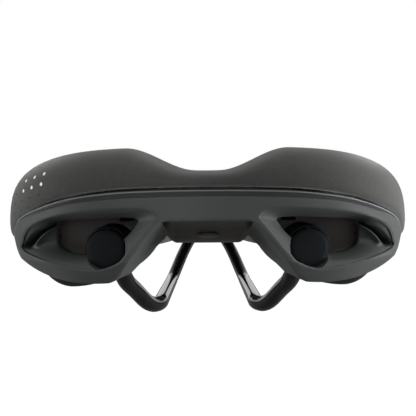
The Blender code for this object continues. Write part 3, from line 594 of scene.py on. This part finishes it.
def make_dots(cover):
    """Two short rows of silver dots on the left flank, and the fine perforations round them, drawn as dark
    discs whose darkness is painted shade for the holes.
    """
    tree = tree_of(cover)
    first, step, drop = np.array(DOT_FIRST), np.array(DOT_STEP), np.array(DOT_DROP)
    silver = [first + step * k + drop * row for row in range(DOT_ROWS) for k in range(DOT_COUNT)]
    around = []
    for k in range(PORE_COUNT):
        for row in PORE_ROWS:
            around.append(first + step * k + drop * row)
        if k >= DOT_COUNT:
            around += [first + step * k + drop * row for row in range(DOT_ROWS)]
    fields = (("flank_dots", silver, DOT_RADIUS, "dot"), ("flank_perforations", around, PORE_RADIUS, "pore"))
    for name, places, radius, finish in fields:
        points, faces = [], []
        for spot in places:
            place, normal = on_cover(tree, *spot)
            if place is None or abs(normal.z) > LEVEL:
                continue
            more, between = dome(np.array(place) / MM, np.array(normal), radius, len(points))
            points += more
            faces += between
        made = piece(name, points, faces, FINISH[finish], 40)
        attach(made, SEAT)


def make_foam():
    """The moulded foam between the cover and the base."""
    line, normals, tops = cushion(120, FOAM_INSET, 12, 8)
    sections = []
    for rim, normal, top in zip(line, normals, tops):
        centre = spoke(rim)
        reach = np.linalg.norm(rim[:2] - centre)
        below = [(*(rim[:2] + normal * (BULGE - FOAM_INSET - 0.4)), rim[2] + 1.7)]
        for f in (0.03, 0.08, 0.15, 0.26, 0.4, 0.55, 0.68, 0.78, 0.88, 1.0):
            d = REAR_INSET + (reach - REAR_INSET) * f
            x, y = rim[:2] + (centre - rim[:2]) * d / reach
            floor = rim[2] + 1.7 if d < COVER_TUCK + 5 else -math.inf
            below.append((x, y, max(plate_top(rim, d, reach, x, y) + 0.8, floor)))
        sections.append(top[::-1] + below)
    made = wrapped("foam_core", sections, FINISH["foam"])
    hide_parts("foam_pad")
    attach(made, SEAT)


# ---------------------------------------------------------------- base

def make_base():
    """The base: a thin plate with a trough, and a skirt round its edge."""
    line = rim_line(BASE_STEPS)
    normals = outward(line)
    fractions = [0.0, 0.01, 0.03, 0.06, 0.1] + [0.1 + 0.9 * k / 26 for k in range(1, 27)]
    sections = []
    for rim, normal in zip(line, normals):
        beside = ease((rim[1] - FASCIA_END_Y - 5.0) / 8.0)
        inset = REAR_INSET + (SIDE_INSET - REAR_INSET) * beside
        waist = 1 - (1 - SKIRT_WAIST_SHARE) * ease((rim[1] - WAIST_START_Y) / WAIST_RUN)
        skirt = SKIRT_DEPTH * ease((rim[1] - SKIRT_START_Y) / SKIRT_RUN) * waist
        centre = spoke(rim)
        reach = np.linalg.norm(rim[:2] - centre)
        upper, lower = [], []
        for f in fractions:
            d = inset + (reach - inset) * f
            x, y = rim[:2] - normal * inset if f == 0 else rim[:2] + (centre - rim[:2]) * d / reach
            z = plate_top(rim, d, reach, x, y)
            upper.append((x, y, z))
            if d > inset + 3.6:
                lower.append((x, y, z - PLATE_THICKNESS))
            else:
                inner = rim[:2] - normal * (inset + 3.0)
                lower.append((*inner, rim[2] - RIM_DROP - PLATE_THICKNESS))
        lip = rim[2] - RIM_DROP - PLATE_THICKNESS - skirt
        soft = min(0.6, 0.3 + skirt)
        lips = [(inset, lip + soft + 0.6), (inset + 0.15, lip + 0.35), (inset + 0.5, lip + 0.05),
                (inset + 1.0, lip), (inset + 1.8, lip), (inset + 2.25, lip + 0.08), (inset + 2.5, lip + 0.4)]
        lips = [(*(rim[:2] - normal * a), b) for a, b in lips]
        sections.append(upper[::-1] + lips + lower)
    made = wrapped("base_shell_moulding", sections, FINISH["base"], 45)
    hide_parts("base_shell")
    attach(made, SEAT)
    return made


def surface_below(thing):
    """A function of (x, y) that gives the height of the thing's underside there."""
    tree = tree_of(thing)

    def height(x, y):
        hit = tree.ray_cast(Vector((x * MM, y * MM, 0.0)), Vector((0, 0, 1)))[0]
        return hit.z / MM if hit else RIM_LOW_Z

    return height


def make_wing_cover(side, under):
    """A shallow bowl under one wing of the base."""
    outline = resample(spline(WING_OUTLINE, True), 120, True)
    centre = np.array(WING_CENTRE)
    rings = [math.sin(math.pi / 2 * k / 22) for k in range(1, 23)]
    rims = [under(side * edge[0], edge[1]) - WING_RIM_DROP for edge in outline]
    rims = np.convolve(np.concatenate([rims[-4:], rims, rims[:4]]), np.ones(9) / 9, mode="valid")
    points = []
    for inner in (0.0, WING_THICKNESS):
        points.append((side * centre[0], centre[1], WING_LOW_Z + inner))
        for f in rings:
            for edge, top in zip(outline, rims):
                inward = (centre - edge) / np.linalg.norm(centre - edge)
                x, y = centre + (edge - centre) * f + inward * inner * f
                z = top + (WING_LOW_Z - top) * math.sqrt(max(1 - f * f, 0)) + inner * (1 - f)
                points.append((side * x, y, z))
    n = len(outline)
    sheet = 1 + len(rings) * n
    faces = []
    for start, way in ((0, 1), (sheet, -1)):
        for k in range(n):
            face = (start, start + 1 + k, start + 1 + (k + 1) % n)
            faces.append(face[::way])
            for r in range(len(rings) - 1):
                a, b = start + 1 + r * n + k, start + 1 + r * n + (k + 1) % n
                faces.append((a, a + n, b + n, b)[::way])
    last = 1 + (len(rings) - 1) * n
    for k in range(n):
        a, b = last + k, last + (k + 1) % n
        faces.append((a, b, b + sheet, a + sheet))
    word = "right" if side > 0 else "left"
    made = piece(f"{word}_wing_bowl", points, faces, FINISH["wing"], 50)
    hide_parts(f"{word}_wing_cover")
    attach(made, SEAT)


# ---------------------------------------------------------------- fascia

def flare(x):
    """How far the face stands out past the rim towards its outer ends."""
    return FLARE * ease((abs(x) - FLARE_X) / FLARE_RUN)


class RimFace:
    """The upright face under the rear rim, addressed by distance from the centre line and height."""

    def __init__(self):
        line = rim_line(1600)
        normals = outward(line)
        kept = [i for i in range(len(line) // 2) if line[i][1] < FASCIA_END_Y + 14]
        self.line = line[kept]
        self.normals = normals[kept]

    def strip_bottom(self, x):
        """The gloss strip's lower edge under the rim: it thins towards its ends."""
        return STRIP_BOTTOM - STRIP_TAPER * ease((abs(x) - 25) / 40)

    def lean(self, z):
        """How far the face has leaned forward at a height: slowly, then faster under the windows."""
        foot = FOOT_LEAN * max(FOOT_Z - z, 0) ** FOOT_POWER
        return FASCIA_LEAN * (max(LEAN_TOP_Z - z, 0) / LEAN_HEIGHT) ** 2 + foot

    def at(self, x, z, depth=0.0):
        """Rim point and normal whose face passes through x at this height and depth."""
        across = self.line[:, 0] - self.normals[:, 0] * (self.lean(z) + depth)
        top = int(np.argmax(across))
        i = np.interp(x, across[:top + 1], np.arange(top + 1))
        low = min(int(i), top - 1)
        f = i - low
        rim = self.line[low] * (1 - f) + self.line[low + 1] * f
        normal = self.normals[low] * (1 - f) + self.normals[low + 1] * f
        return rim, normal

    def point(self, x, z, depth):
        """The point straight in from the face's (x, z), along the rim's normal."""
        rim, normal = self.at(x, z)
        place = rim[:2] - normal * (self.lean(z) + depth + FACE_SINK - flare(x))
        return np.array((place[0], place[1], z))

    def behind(self, x, z, depth):
        """The point at that depth which lies straight ahead of the face's (x, z), at the same x."""
        rim, normal = self.at(x, z, depth)
        place = rim[:2] - normal * (self.lean(z) + depth + FACE_SINK - flare(x))
        return np.array((place[0], place[1], z))


def outline_of_half(face):
    """The right half of the face's edge, as (x, z, kind), from the top of the centre part round."""
    def top_at(x):
        return face.at(x, FACE_Z)[0][2] - face.strip_bottom(x) - GAP

    found = []
    end_x = FACE_END_X
    for f in np.linspace(0, 1, 110):
        x = CENTRE_HALF + (end_x - CENTRE_HALF) * math.sin(f * math.pi / 2) ** 0.9
        found.append((x, top_at(x), "top"))
    low = profile(FASCIA_BOTTOM, end_x)
    high = found[-1][1]
    low = min(low, high - 1.6)
    for f in np.linspace(0, 1, 9)[1:-1]:
        found.append((end_x + 0.5 * math.sin(math.pi * f), high + (low - high) * f, "tip"))
    for x in np.linspace(end_x, 33, 90):
        found.append((x, min(profile(FASCIA_BOTTOM, x), top_at(x) - 1.6), "bottom"))
    for x in np.linspace(ARM_X[1], ARM_X[0], 56):
        found.append((x, profile(FASCIA_BOTTOM, x), "arm"))
    for x in (15.0, 14.0, CENTRE_HALF):
        found.append((x, profile(FASCIA_BOTTOM, x), "centre"))
    low, high = found[-1][1], found[0][1]
    for f in np.linspace(0, 1, 14)[1:-1]:
        found.append((CENTRE_HALF, low + FILLET + (high - low - 2 * FILLET) * f, "joint"))
    return found


def polar(outline, middle):
    """Radius against angle for a closed smooth outline."""
    fine = spline(outline, True, 40) - middle
    turns = np.arctan2(fine[:, 1], fine[:, 0])
    order = np.argsort(turns)
    turns, radii = turns[order], np.linalg.norm(fine, axis=1)[order]
    turns = np.concatenate([turns - 2 * math.pi, turns, turns + 2 * math.pi])
    radii = np.concatenate([radii, radii, radii])
    return lambda turn: float(np.interp(turn, turns, radii))


def funnel_depth(f, turn):
    """Depth of the sloping surround of a window, from its edge (f=0) to the opening (f=1).

    A crescent slot curves round the window's outer end, with a rib between it and the opening.
    """
    depth = FILLET + (OPENING_DEPTH - FILLET) * (0.35 * f + 0.65 * f ** 1.6)
    slot = profile(SLOT_LINE, turn)
    ends = ease((turn - SLOT_TURNS[0]) / 0.14) * ease((SLOT_TURNS[1] - turn) / 0.12)
    cut = SLOT_DEPTH * hump(f, slot, 0.11) - RIB_HEIGHT * hump(f, slot + 0.22, 0.08)
    return depth + ends * cut


def cap_clearance(x, z, face):
    """Least depth at a place in the surround, so that the bush cap stands clear in its own round pocket."""
    near = ease((CAP_POCKET + 0.45 - math.hypot(x - BUSH_X, z - BUSH_Z)) / 0.45)
    floor = CAP_Y[0] + 1.2 - face.point(x, z, 0.0)[1]
    return floor * near if near > 0 else 0.0


def fascia_half(face):
    """Rings from the back of the face's edge, over the face, down the funnel and through the window."""
    middle = np.array(WINDOW_MIDDLE)
    window, opening = polar(WINDOW, middle), polar(OPENING, middle)
    outline = outline_of_half(face)
    count = len(outline)
    flat = np.array([(x, z) for x, z, _ in outline])
    ahead = np.roll(flat, -1, axis=0) - np.roll(flat, 1, axis=0)
    out = np.stack([-ahead[:, 1], ahead[:, 0]], axis=1)
    out /= np.linalg.norm(out, axis=1)[:, None]
    columns = []
    for i, (x, z, kind) in enumerate(outline):
        o = np.array((x, z))
        way = out[i]
        if i == 0:
            way = np.array((0, 1.0))
        if outline[(i + 1) % count][2] == "joint" and kind == "centre":
            way = np.array((0, -1.0))
        fillet = {"joint": 0.0, "top": TOP_FILLET}.get(kind, FILLET)
        back = {"top": 3.0, "tip": 2.2, "bottom": 11.0, "arm": 11.0, "centre": 3.0, "joint": 3.0}[kind]
        column = []
        if kind == "arm":
            a = (x - ARM_X[0]) / (ARM_X[1] - ARM_X[0])
            front = np.array(ARM_ROOT) * (1 - a) + np.array(ARM_FOOT) * a
            inner = front + np.array((1.3, 0, 1.3))
            column += [face.point(x + 1.6, z + 1.6, 9.0), inner, front]
        else:
            behind = face.point(x, z, back)
            column += [face.point(*(o - way * 1.6 * (kind != "joint")), back), behind, behind]
        column.append(face.point(x, z, fillet))
        for share in (0.5, 1.0):
            slip = fillet * (1 - math.cos(math.pi / 2 * share))
            column.append(face.point(*(o - way * slip), fillet * (1 - math.sin(math.pi / 2 * share))))
        start = o - way * fillet
        turn = math.atan2(z - middle[1], x - middle[0])
        ray = np.array((math.cos(turn), math.sin(turn)))
        w, p = middle + ray * window(turn), middle + ray * opening(turn)
        lip = w + ray * min(1.0, 0.5 * max(np.linalg.norm(start - w), 0.05))
        for f in (0.3, 0.65):
            column.append(face.point(*(start + (lip - start) * f), 0.0))
        column.append(face.point(*lip, 0.0))
        column.append(face.point(*(lip + (w - lip) * 0.6), 0.12))
        column.append(face.point(*w, FILLET * 0.75))
        for k in range(1, FUNNEL_STEPS + 1):
            f = k / FUNNEL_STEPS
            place = w + (p - w) * f
            depth = max(funnel_depth(f, turn), cap_clearance(*place, face))
            column.append(face.behind(*place, depth))
        column.append(face.behind(*(p - ray * 0.3), OPENING_DEPTH + 0.8))
        column.append(face.behind(*(p - ray * 0.3), OPENING_DEPTH + 3.5))
        column.append(face.behind(*(p + ray * 1.2), OPENING_DEPTH + 3.6))
        columns.append(column)
    return columns


def centre_part(face, columns, outline_kinds):
    """The plain middle of the face, between the two halves."""
    joint = [i for i, kind in enumerate(outline_kinds) if kind == "joint"]
    first, last = joint[0] - 1, 0
    low_side, high_side = columns[first], columns[last]
    rows = [low_side[0], low_side[1], low_side[3], low_side[4], low_side[5]]
    rows += [columns[i][5] for i in joint]
    rows += [high_side[5], high_side[4], high_side[3], high_side[1], high_side[0]]
    sections = []
    for f in np.linspace(-1, 1, 27):
        x = CENTRE_HALF * f
        rim = face.at(abs(x), FACE_Z)[0]
        edge_rim = face.at(CENTRE_HALF, FACE_Z)[0]
        sag = (rim[:2] - edge_rim[:2])[1]
        sections.append([(x, row[1] + sag, row[2] + (rim[2] - edge_rim[2]) * (row[2] > 45)) for row in rows])
    return sections


def make_fascia():
    """The rear bumper, and the two cups for the rail bushes."""
    face = RimFace()
    columns = fascia_half(face)
    kinds = [kind for _, _, kind in outline_of_half(face)]
    points, faces = [], []
    for side in (1, -1):
        start = len(points)
        for column in columns:
            points += [(side * p[0], p[1], p[2]) for p in column]
        faces += [tuple(start + i for i in f) for f in grid_faces(len(columns), len(columns[0]), True, False)]
    middle = centre_part(face, columns, kinds)
    start = len(points)
    for section in middle:
        points += section
    faces += [tuple(start + i for i in f) for f in grid_faces(len(middle), len(middle[0]), False, False)]
    made = piece("rear_fascia_moulding", points, faces, FINISH["fascia"], 50, weld=2e-5)
    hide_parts("rear_fascia")
    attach(made, SEAT)
    y0, y1 = HOUSING_Y
    for side, word in ((1, "right"), (-1, "left")):
        lip = y0 + 4.2
        ring = rounded([(HOUSING_BORE, lip), (HOUSING_BORE + 0.45, lip), (HOUSING_RADIUS, lip + 1.2),
                        (HOUSING_RADIUS + 0.5, y1), (HOUSING_BORE, y1)], 0.3)
        # the cups take the darker cap finish, not the fascia's: painted shade, so each ring reads as a dark
        # gap round its bush
        cup = turned(f"{word}_bush_cup", side * BUSH_X, BUSH_Z, ring, FINISH["cap"])
        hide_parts("rear_fascia")
        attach(cup, SEAT)


def make_trim():
    """The thin strip over the fascia, and the bead along its top; the bead's light grey is a painted
    highlight line on a lip that also catches the light.
    """
    line = rim_line(700)
    normals = outward(line)
    half = len(line) // 2
    order = list(range(half, len(line))) + list(range(half + 1))
    order = [i for i in order if line[i][1] < FASCIA_END_Y]
    face = RimFace()
    sections, beads = [], []
    for i in order:
        rim, normal = line[i], normals[i]
        low = face.strip_bottom(rim[0])
        top = STRIP_TOP + 0.5
        strip = rounded([(2.0, top), (0.1, top), (0.3, low + GAP), (2.0, low + GAP)], 0.1, 4)
        bead = rounded([(0.9, top - 0.1), (-0.3, top - 0.1), (-0.3, top + 0.3), (0.9, top + 0.3)], 0.15, 4)
        sections.append([(*(rim[:2] - normal * a), rim[2] - b) for a, b in strip])
        beads.append([(*(rim[:2] - normal * a), rim[2] - b) for a, b in bead])
    for name, rows, finish in (("gloss_trim", sections, "strip"), ("trim_bead", beads, "bead")):
        made = loft(name, rows, FINISH[finish], 40)
        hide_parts("trim_strip")
        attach(made, SEAT)


# ---------------------------------------------------------------- rails and bushes

def make_rail(side, word):
    """One bent round bar, from its bush at the rear to the socket under the nose."""
    rear = resample(spline([*RAIL_REAR, (CLAMP_HALF_GAUGE, CLAMP_REAR_Y, 0)], False), RAIL_STEPS, False)
    front = resample(spline([(CLAMP_HALF_GAUGE, CLAMP_FRONT_Y, 0), *RAIL_FRONT], False), RAIL_STEPS, False)
    straight = np.linspace(rear[-1], front[0], 22)[1:-1]
    path = np.concatenate([rear, straight, front])
    ahead = np.gradient(path, axis=0)
    sections = []
    for point, way in zip(path, ahead):
        way = way / np.linalg.norm(way)
        across = np.cross(way, (0, 0, 1.0))
        across /= np.linalg.norm(across)
        up = np.cross(across, way)
        ring = []
        for k in range(RAIL_SIDES):
            turn = 2 * math.pi * k / RAIL_SIDES
            place = point + RAIL_RADIUS * (math.cos(turn) * across + math.sin(turn) * up)
            ring.append((side * place[0], place[1], place[2]))
        sections.append(ring)
    made = loft(f"{word}_rail_bar", sections, FINISH["rail"], 60)
    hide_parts(f"{word}_rail")
    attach(made, RAILS)


def make_bush(side, word):
    """One rail's elastomer bush, and the cap behind it."""
    x = side * BUSH_X
    y0, y1 = BUSH_Y
    bore, waist = FERRULE_RADIUS + 0.3, BUSH_RADIUS - 0.7
    ring = [(bore, y0), (BUSH_RADIUS, y0), (BUSH_RADIUS, y0 + 4), (waist, y0 + 5.5),
            (waist, y1 - 5.5), (BUSH_RADIUS, y1 - 4), (BUSH_RADIUS, y1), (bore, y1)]
    bush = turned(f"{word}_elastomer", x, BUSH_Z, rounded(ring, 0.5), FINISH["rubber"])
    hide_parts(f"{word}_bush")
    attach(bush, SEAT)
    y0, y1 = CAP_Y
    crown = [(0.0, y0 - 0.15), (2.5, y0 - 0.12), (5.0, y0 - 0.03), (BUSH_RADIUS - 0.5, y0 + 0.12),
             (BUSH_RADIUS + 0.02, y0 + 0.6), (BUSH_RADIUS + 0.1, y0 + 1.2), (BUSH_RADIUS, y1), (0.0, y1)]
    cap = turned(f"{word}_cap_disc", x, BUSH_Z, crown, FINISH["cap"], 96, 50)
    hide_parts(f"{word}_bush_cap")
    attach(cap, SEAT)


def repaint():
    """The small CAD pieces that stay get their detailed finishes."""
    kept = {"screw": ("fascia_screw_1", "fascia_screw_2", "fascia_screw_3", "fascia_screw_4", "nose_screw_1",
                      "nose_screw_2"),
            "steel": ("left_ferrule", "right_ferrule"),
            "socket": ("nose_socket", "nose_clamp"),
            "plug": ("port_plug",)}
    for finish, names in kept.items():
        for name in names:
            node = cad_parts[name]
            for holder in node.material_slots:
                holder.material = FINISH[finish]
            if not node.material_slots:
                node.data.materials.append(FINISH[finish])


# ---------------------------------------------------------------- stage

FLOOR_Z, FLOOR_REACH = -0.12, 6.0
LIGHTS = (  # name, place, aim, width, height, watts, seen in reflections
    ("overhead", (0.35, -0.40, 0.9), (0, -0.06, 0.05), 1.0, 0.9, 8.5, False),
    ("front_fill", (0.2, -1.2, 0.35), (0, -0.1, 0.04), 1.4, 0.8, 1.3, False),
    ("level_fill", (0.0, -1.2, 0.06), (0, -0.1, 0.03), 0.8, 0.25, 1.0, False),
    ("left_side", (-0.7, -0.40, 0.12), (-0.06, -0.10, 0.05), 0.4, 0.30, 0.9, False),
    ("right_side", (0.7, -0.40, 0.14), (0.06, -0.10, 0.05), 0.4, 0.30, 2.0, False),
    ("left_low", (-0.46, -0.13, -0.04), (-0.07, -0.10, 0.03), 0.30, 0.10, 2.2, False),
    ("right_low", (0.46, -0.13, -0.04), (0.07, -0.10, 0.03), 0.30, 0.10, 4.2, False),
)


def by_ray(tree, seen, lit, gloss):
    """A background strength: seen by the camera, falling on matt surfaces, and mirrored in gloss."""
    path = tree.nodes.new("ShaderNodeLightPath")
    result = lit
    for ray, strength in (("Is Glossy Ray", gloss), ("Is Camera Ray", seen)):
        mix = tree.nodes.new("ShaderNodeMix")
        tree.links.new(path.outputs[ray], mix.inputs["Factor"])
        for socket, value in ((mix.inputs[2], result), (mix.inputs[3], strength)):
            if isinstance(value, (int, float)):
                socket.default_value = value
            else:
                tree.links.new(value, socket)
        result = mix.outputs[0]
    return result


def make_stage():
    """A white sweep: bright ahead of the saddle, dim behind the camera, so black gloss stays black."""
    floor = bpy.data.meshes.new("floor")
    corners = [(x * FLOOR_REACH, y * FLOOR_REACH, FLOOR_Z) for x, y in ((-1, -1), (1, -1), (1, 1), (-1, 1))]
    floor.from_pydata(corners, [], [(0, 1, 2, 3)])
    ground = bpy.data.objects.new("floor", floor)
    bpy.context.collection.objects.link(ground)
    paint, tree, shader, place = graph("floor_paint", (0.06, 0.06, 0.06), 0.9)
    shader.inputs["Specular IOR Level"].default_value = 0.0
    floor.materials.append(paint)
    part = tree.nodes.new("ShaderNodeSeparateXYZ")
    tree.links.new(place, part.inputs["Vector"])
    ahead = ranged(tree, part.outputs["Y"], 0.0, 0.5, 0.01, 0.10)
    shader.inputs["Emission Color"].default_value = (1, 1, 1, 1)
    tree.links.new(by_ray(tree, 1.0, 0.0, ahead), shader.inputs["Emission Strength"])

    world = bpy.data.worlds.new("studio")
    world.use_nodes = True
    tree = world.node_tree
    back = tree.nodes["Background"]
    back.inputs["Color"].default_value = (1, 1, 1, 1)
    part = tree.nodes.new("ShaderNodeSeparateXYZ")
    tree.links.new(tree.nodes.new("ShaderNodeTexCoord").outputs["Generated"], part.inputs["Vector"])
    ahead = ranged(tree, part.outputs["Y"], 0.1, 0.8, 0.008, 0.62)
    tree.links.new(by_ray(tree, 1.0, 0.22, ahead), back.inputs["Strength"])
    bpy.context.scene.world = world

    for name, place, aim, width, height, power, mirrored in LIGHTS:
        lamp = bpy.data.lights.new(name, "AREA")
        lamp.shape = "RECTANGLE"
        lamp.size, lamp.size_y = width, height
        lamp.energy = power
        holder = bpy.data.objects.new(name, lamp)
        holder.location = place
        holder.rotation_euler = (Vector(aim) - Vector(place)).to_track_quat("-Z", "Y").to_euler()
        holder.visible_camera = False
        holder.visible_glossy = mirrored
        bpy.context.collection.objects.link(holder)


def make_camera():
    """Level with the cushion's lower edge, straight behind the saddle."""
    lens = bpy.data.cameras.new("camera")
    lens.lens, lens.sensor_width = 54.0, 36.0
    lens.clip_start, lens.clip_end = 0.01, 50
    lens.shift_x = 0.0012
    holder = bpy.data.objects.new("camera", lens)
    holder.location = (0, -0.335, 0.0435)
    holder.rotation_euler = (math.radians(90), math.radians(0.45), 0)
    bpy.context.collection.objects.link(holder)
    bpy.context.scene.camera = holder
    bpy.context.scene.view_settings.view_transform = "Standard"


make_camera()
make_stage()
make_dots(make_cover())
make_foam()
base = make_base()
under = surface_below(base)
for side in (1, -1):
    make_wing_cover(side, under)
make_fascia()
make_trim()
for side, word in ((1, "right"), (-1, "left")):
    make_rail(side, word)
    make_bush(side, word)
repaint()
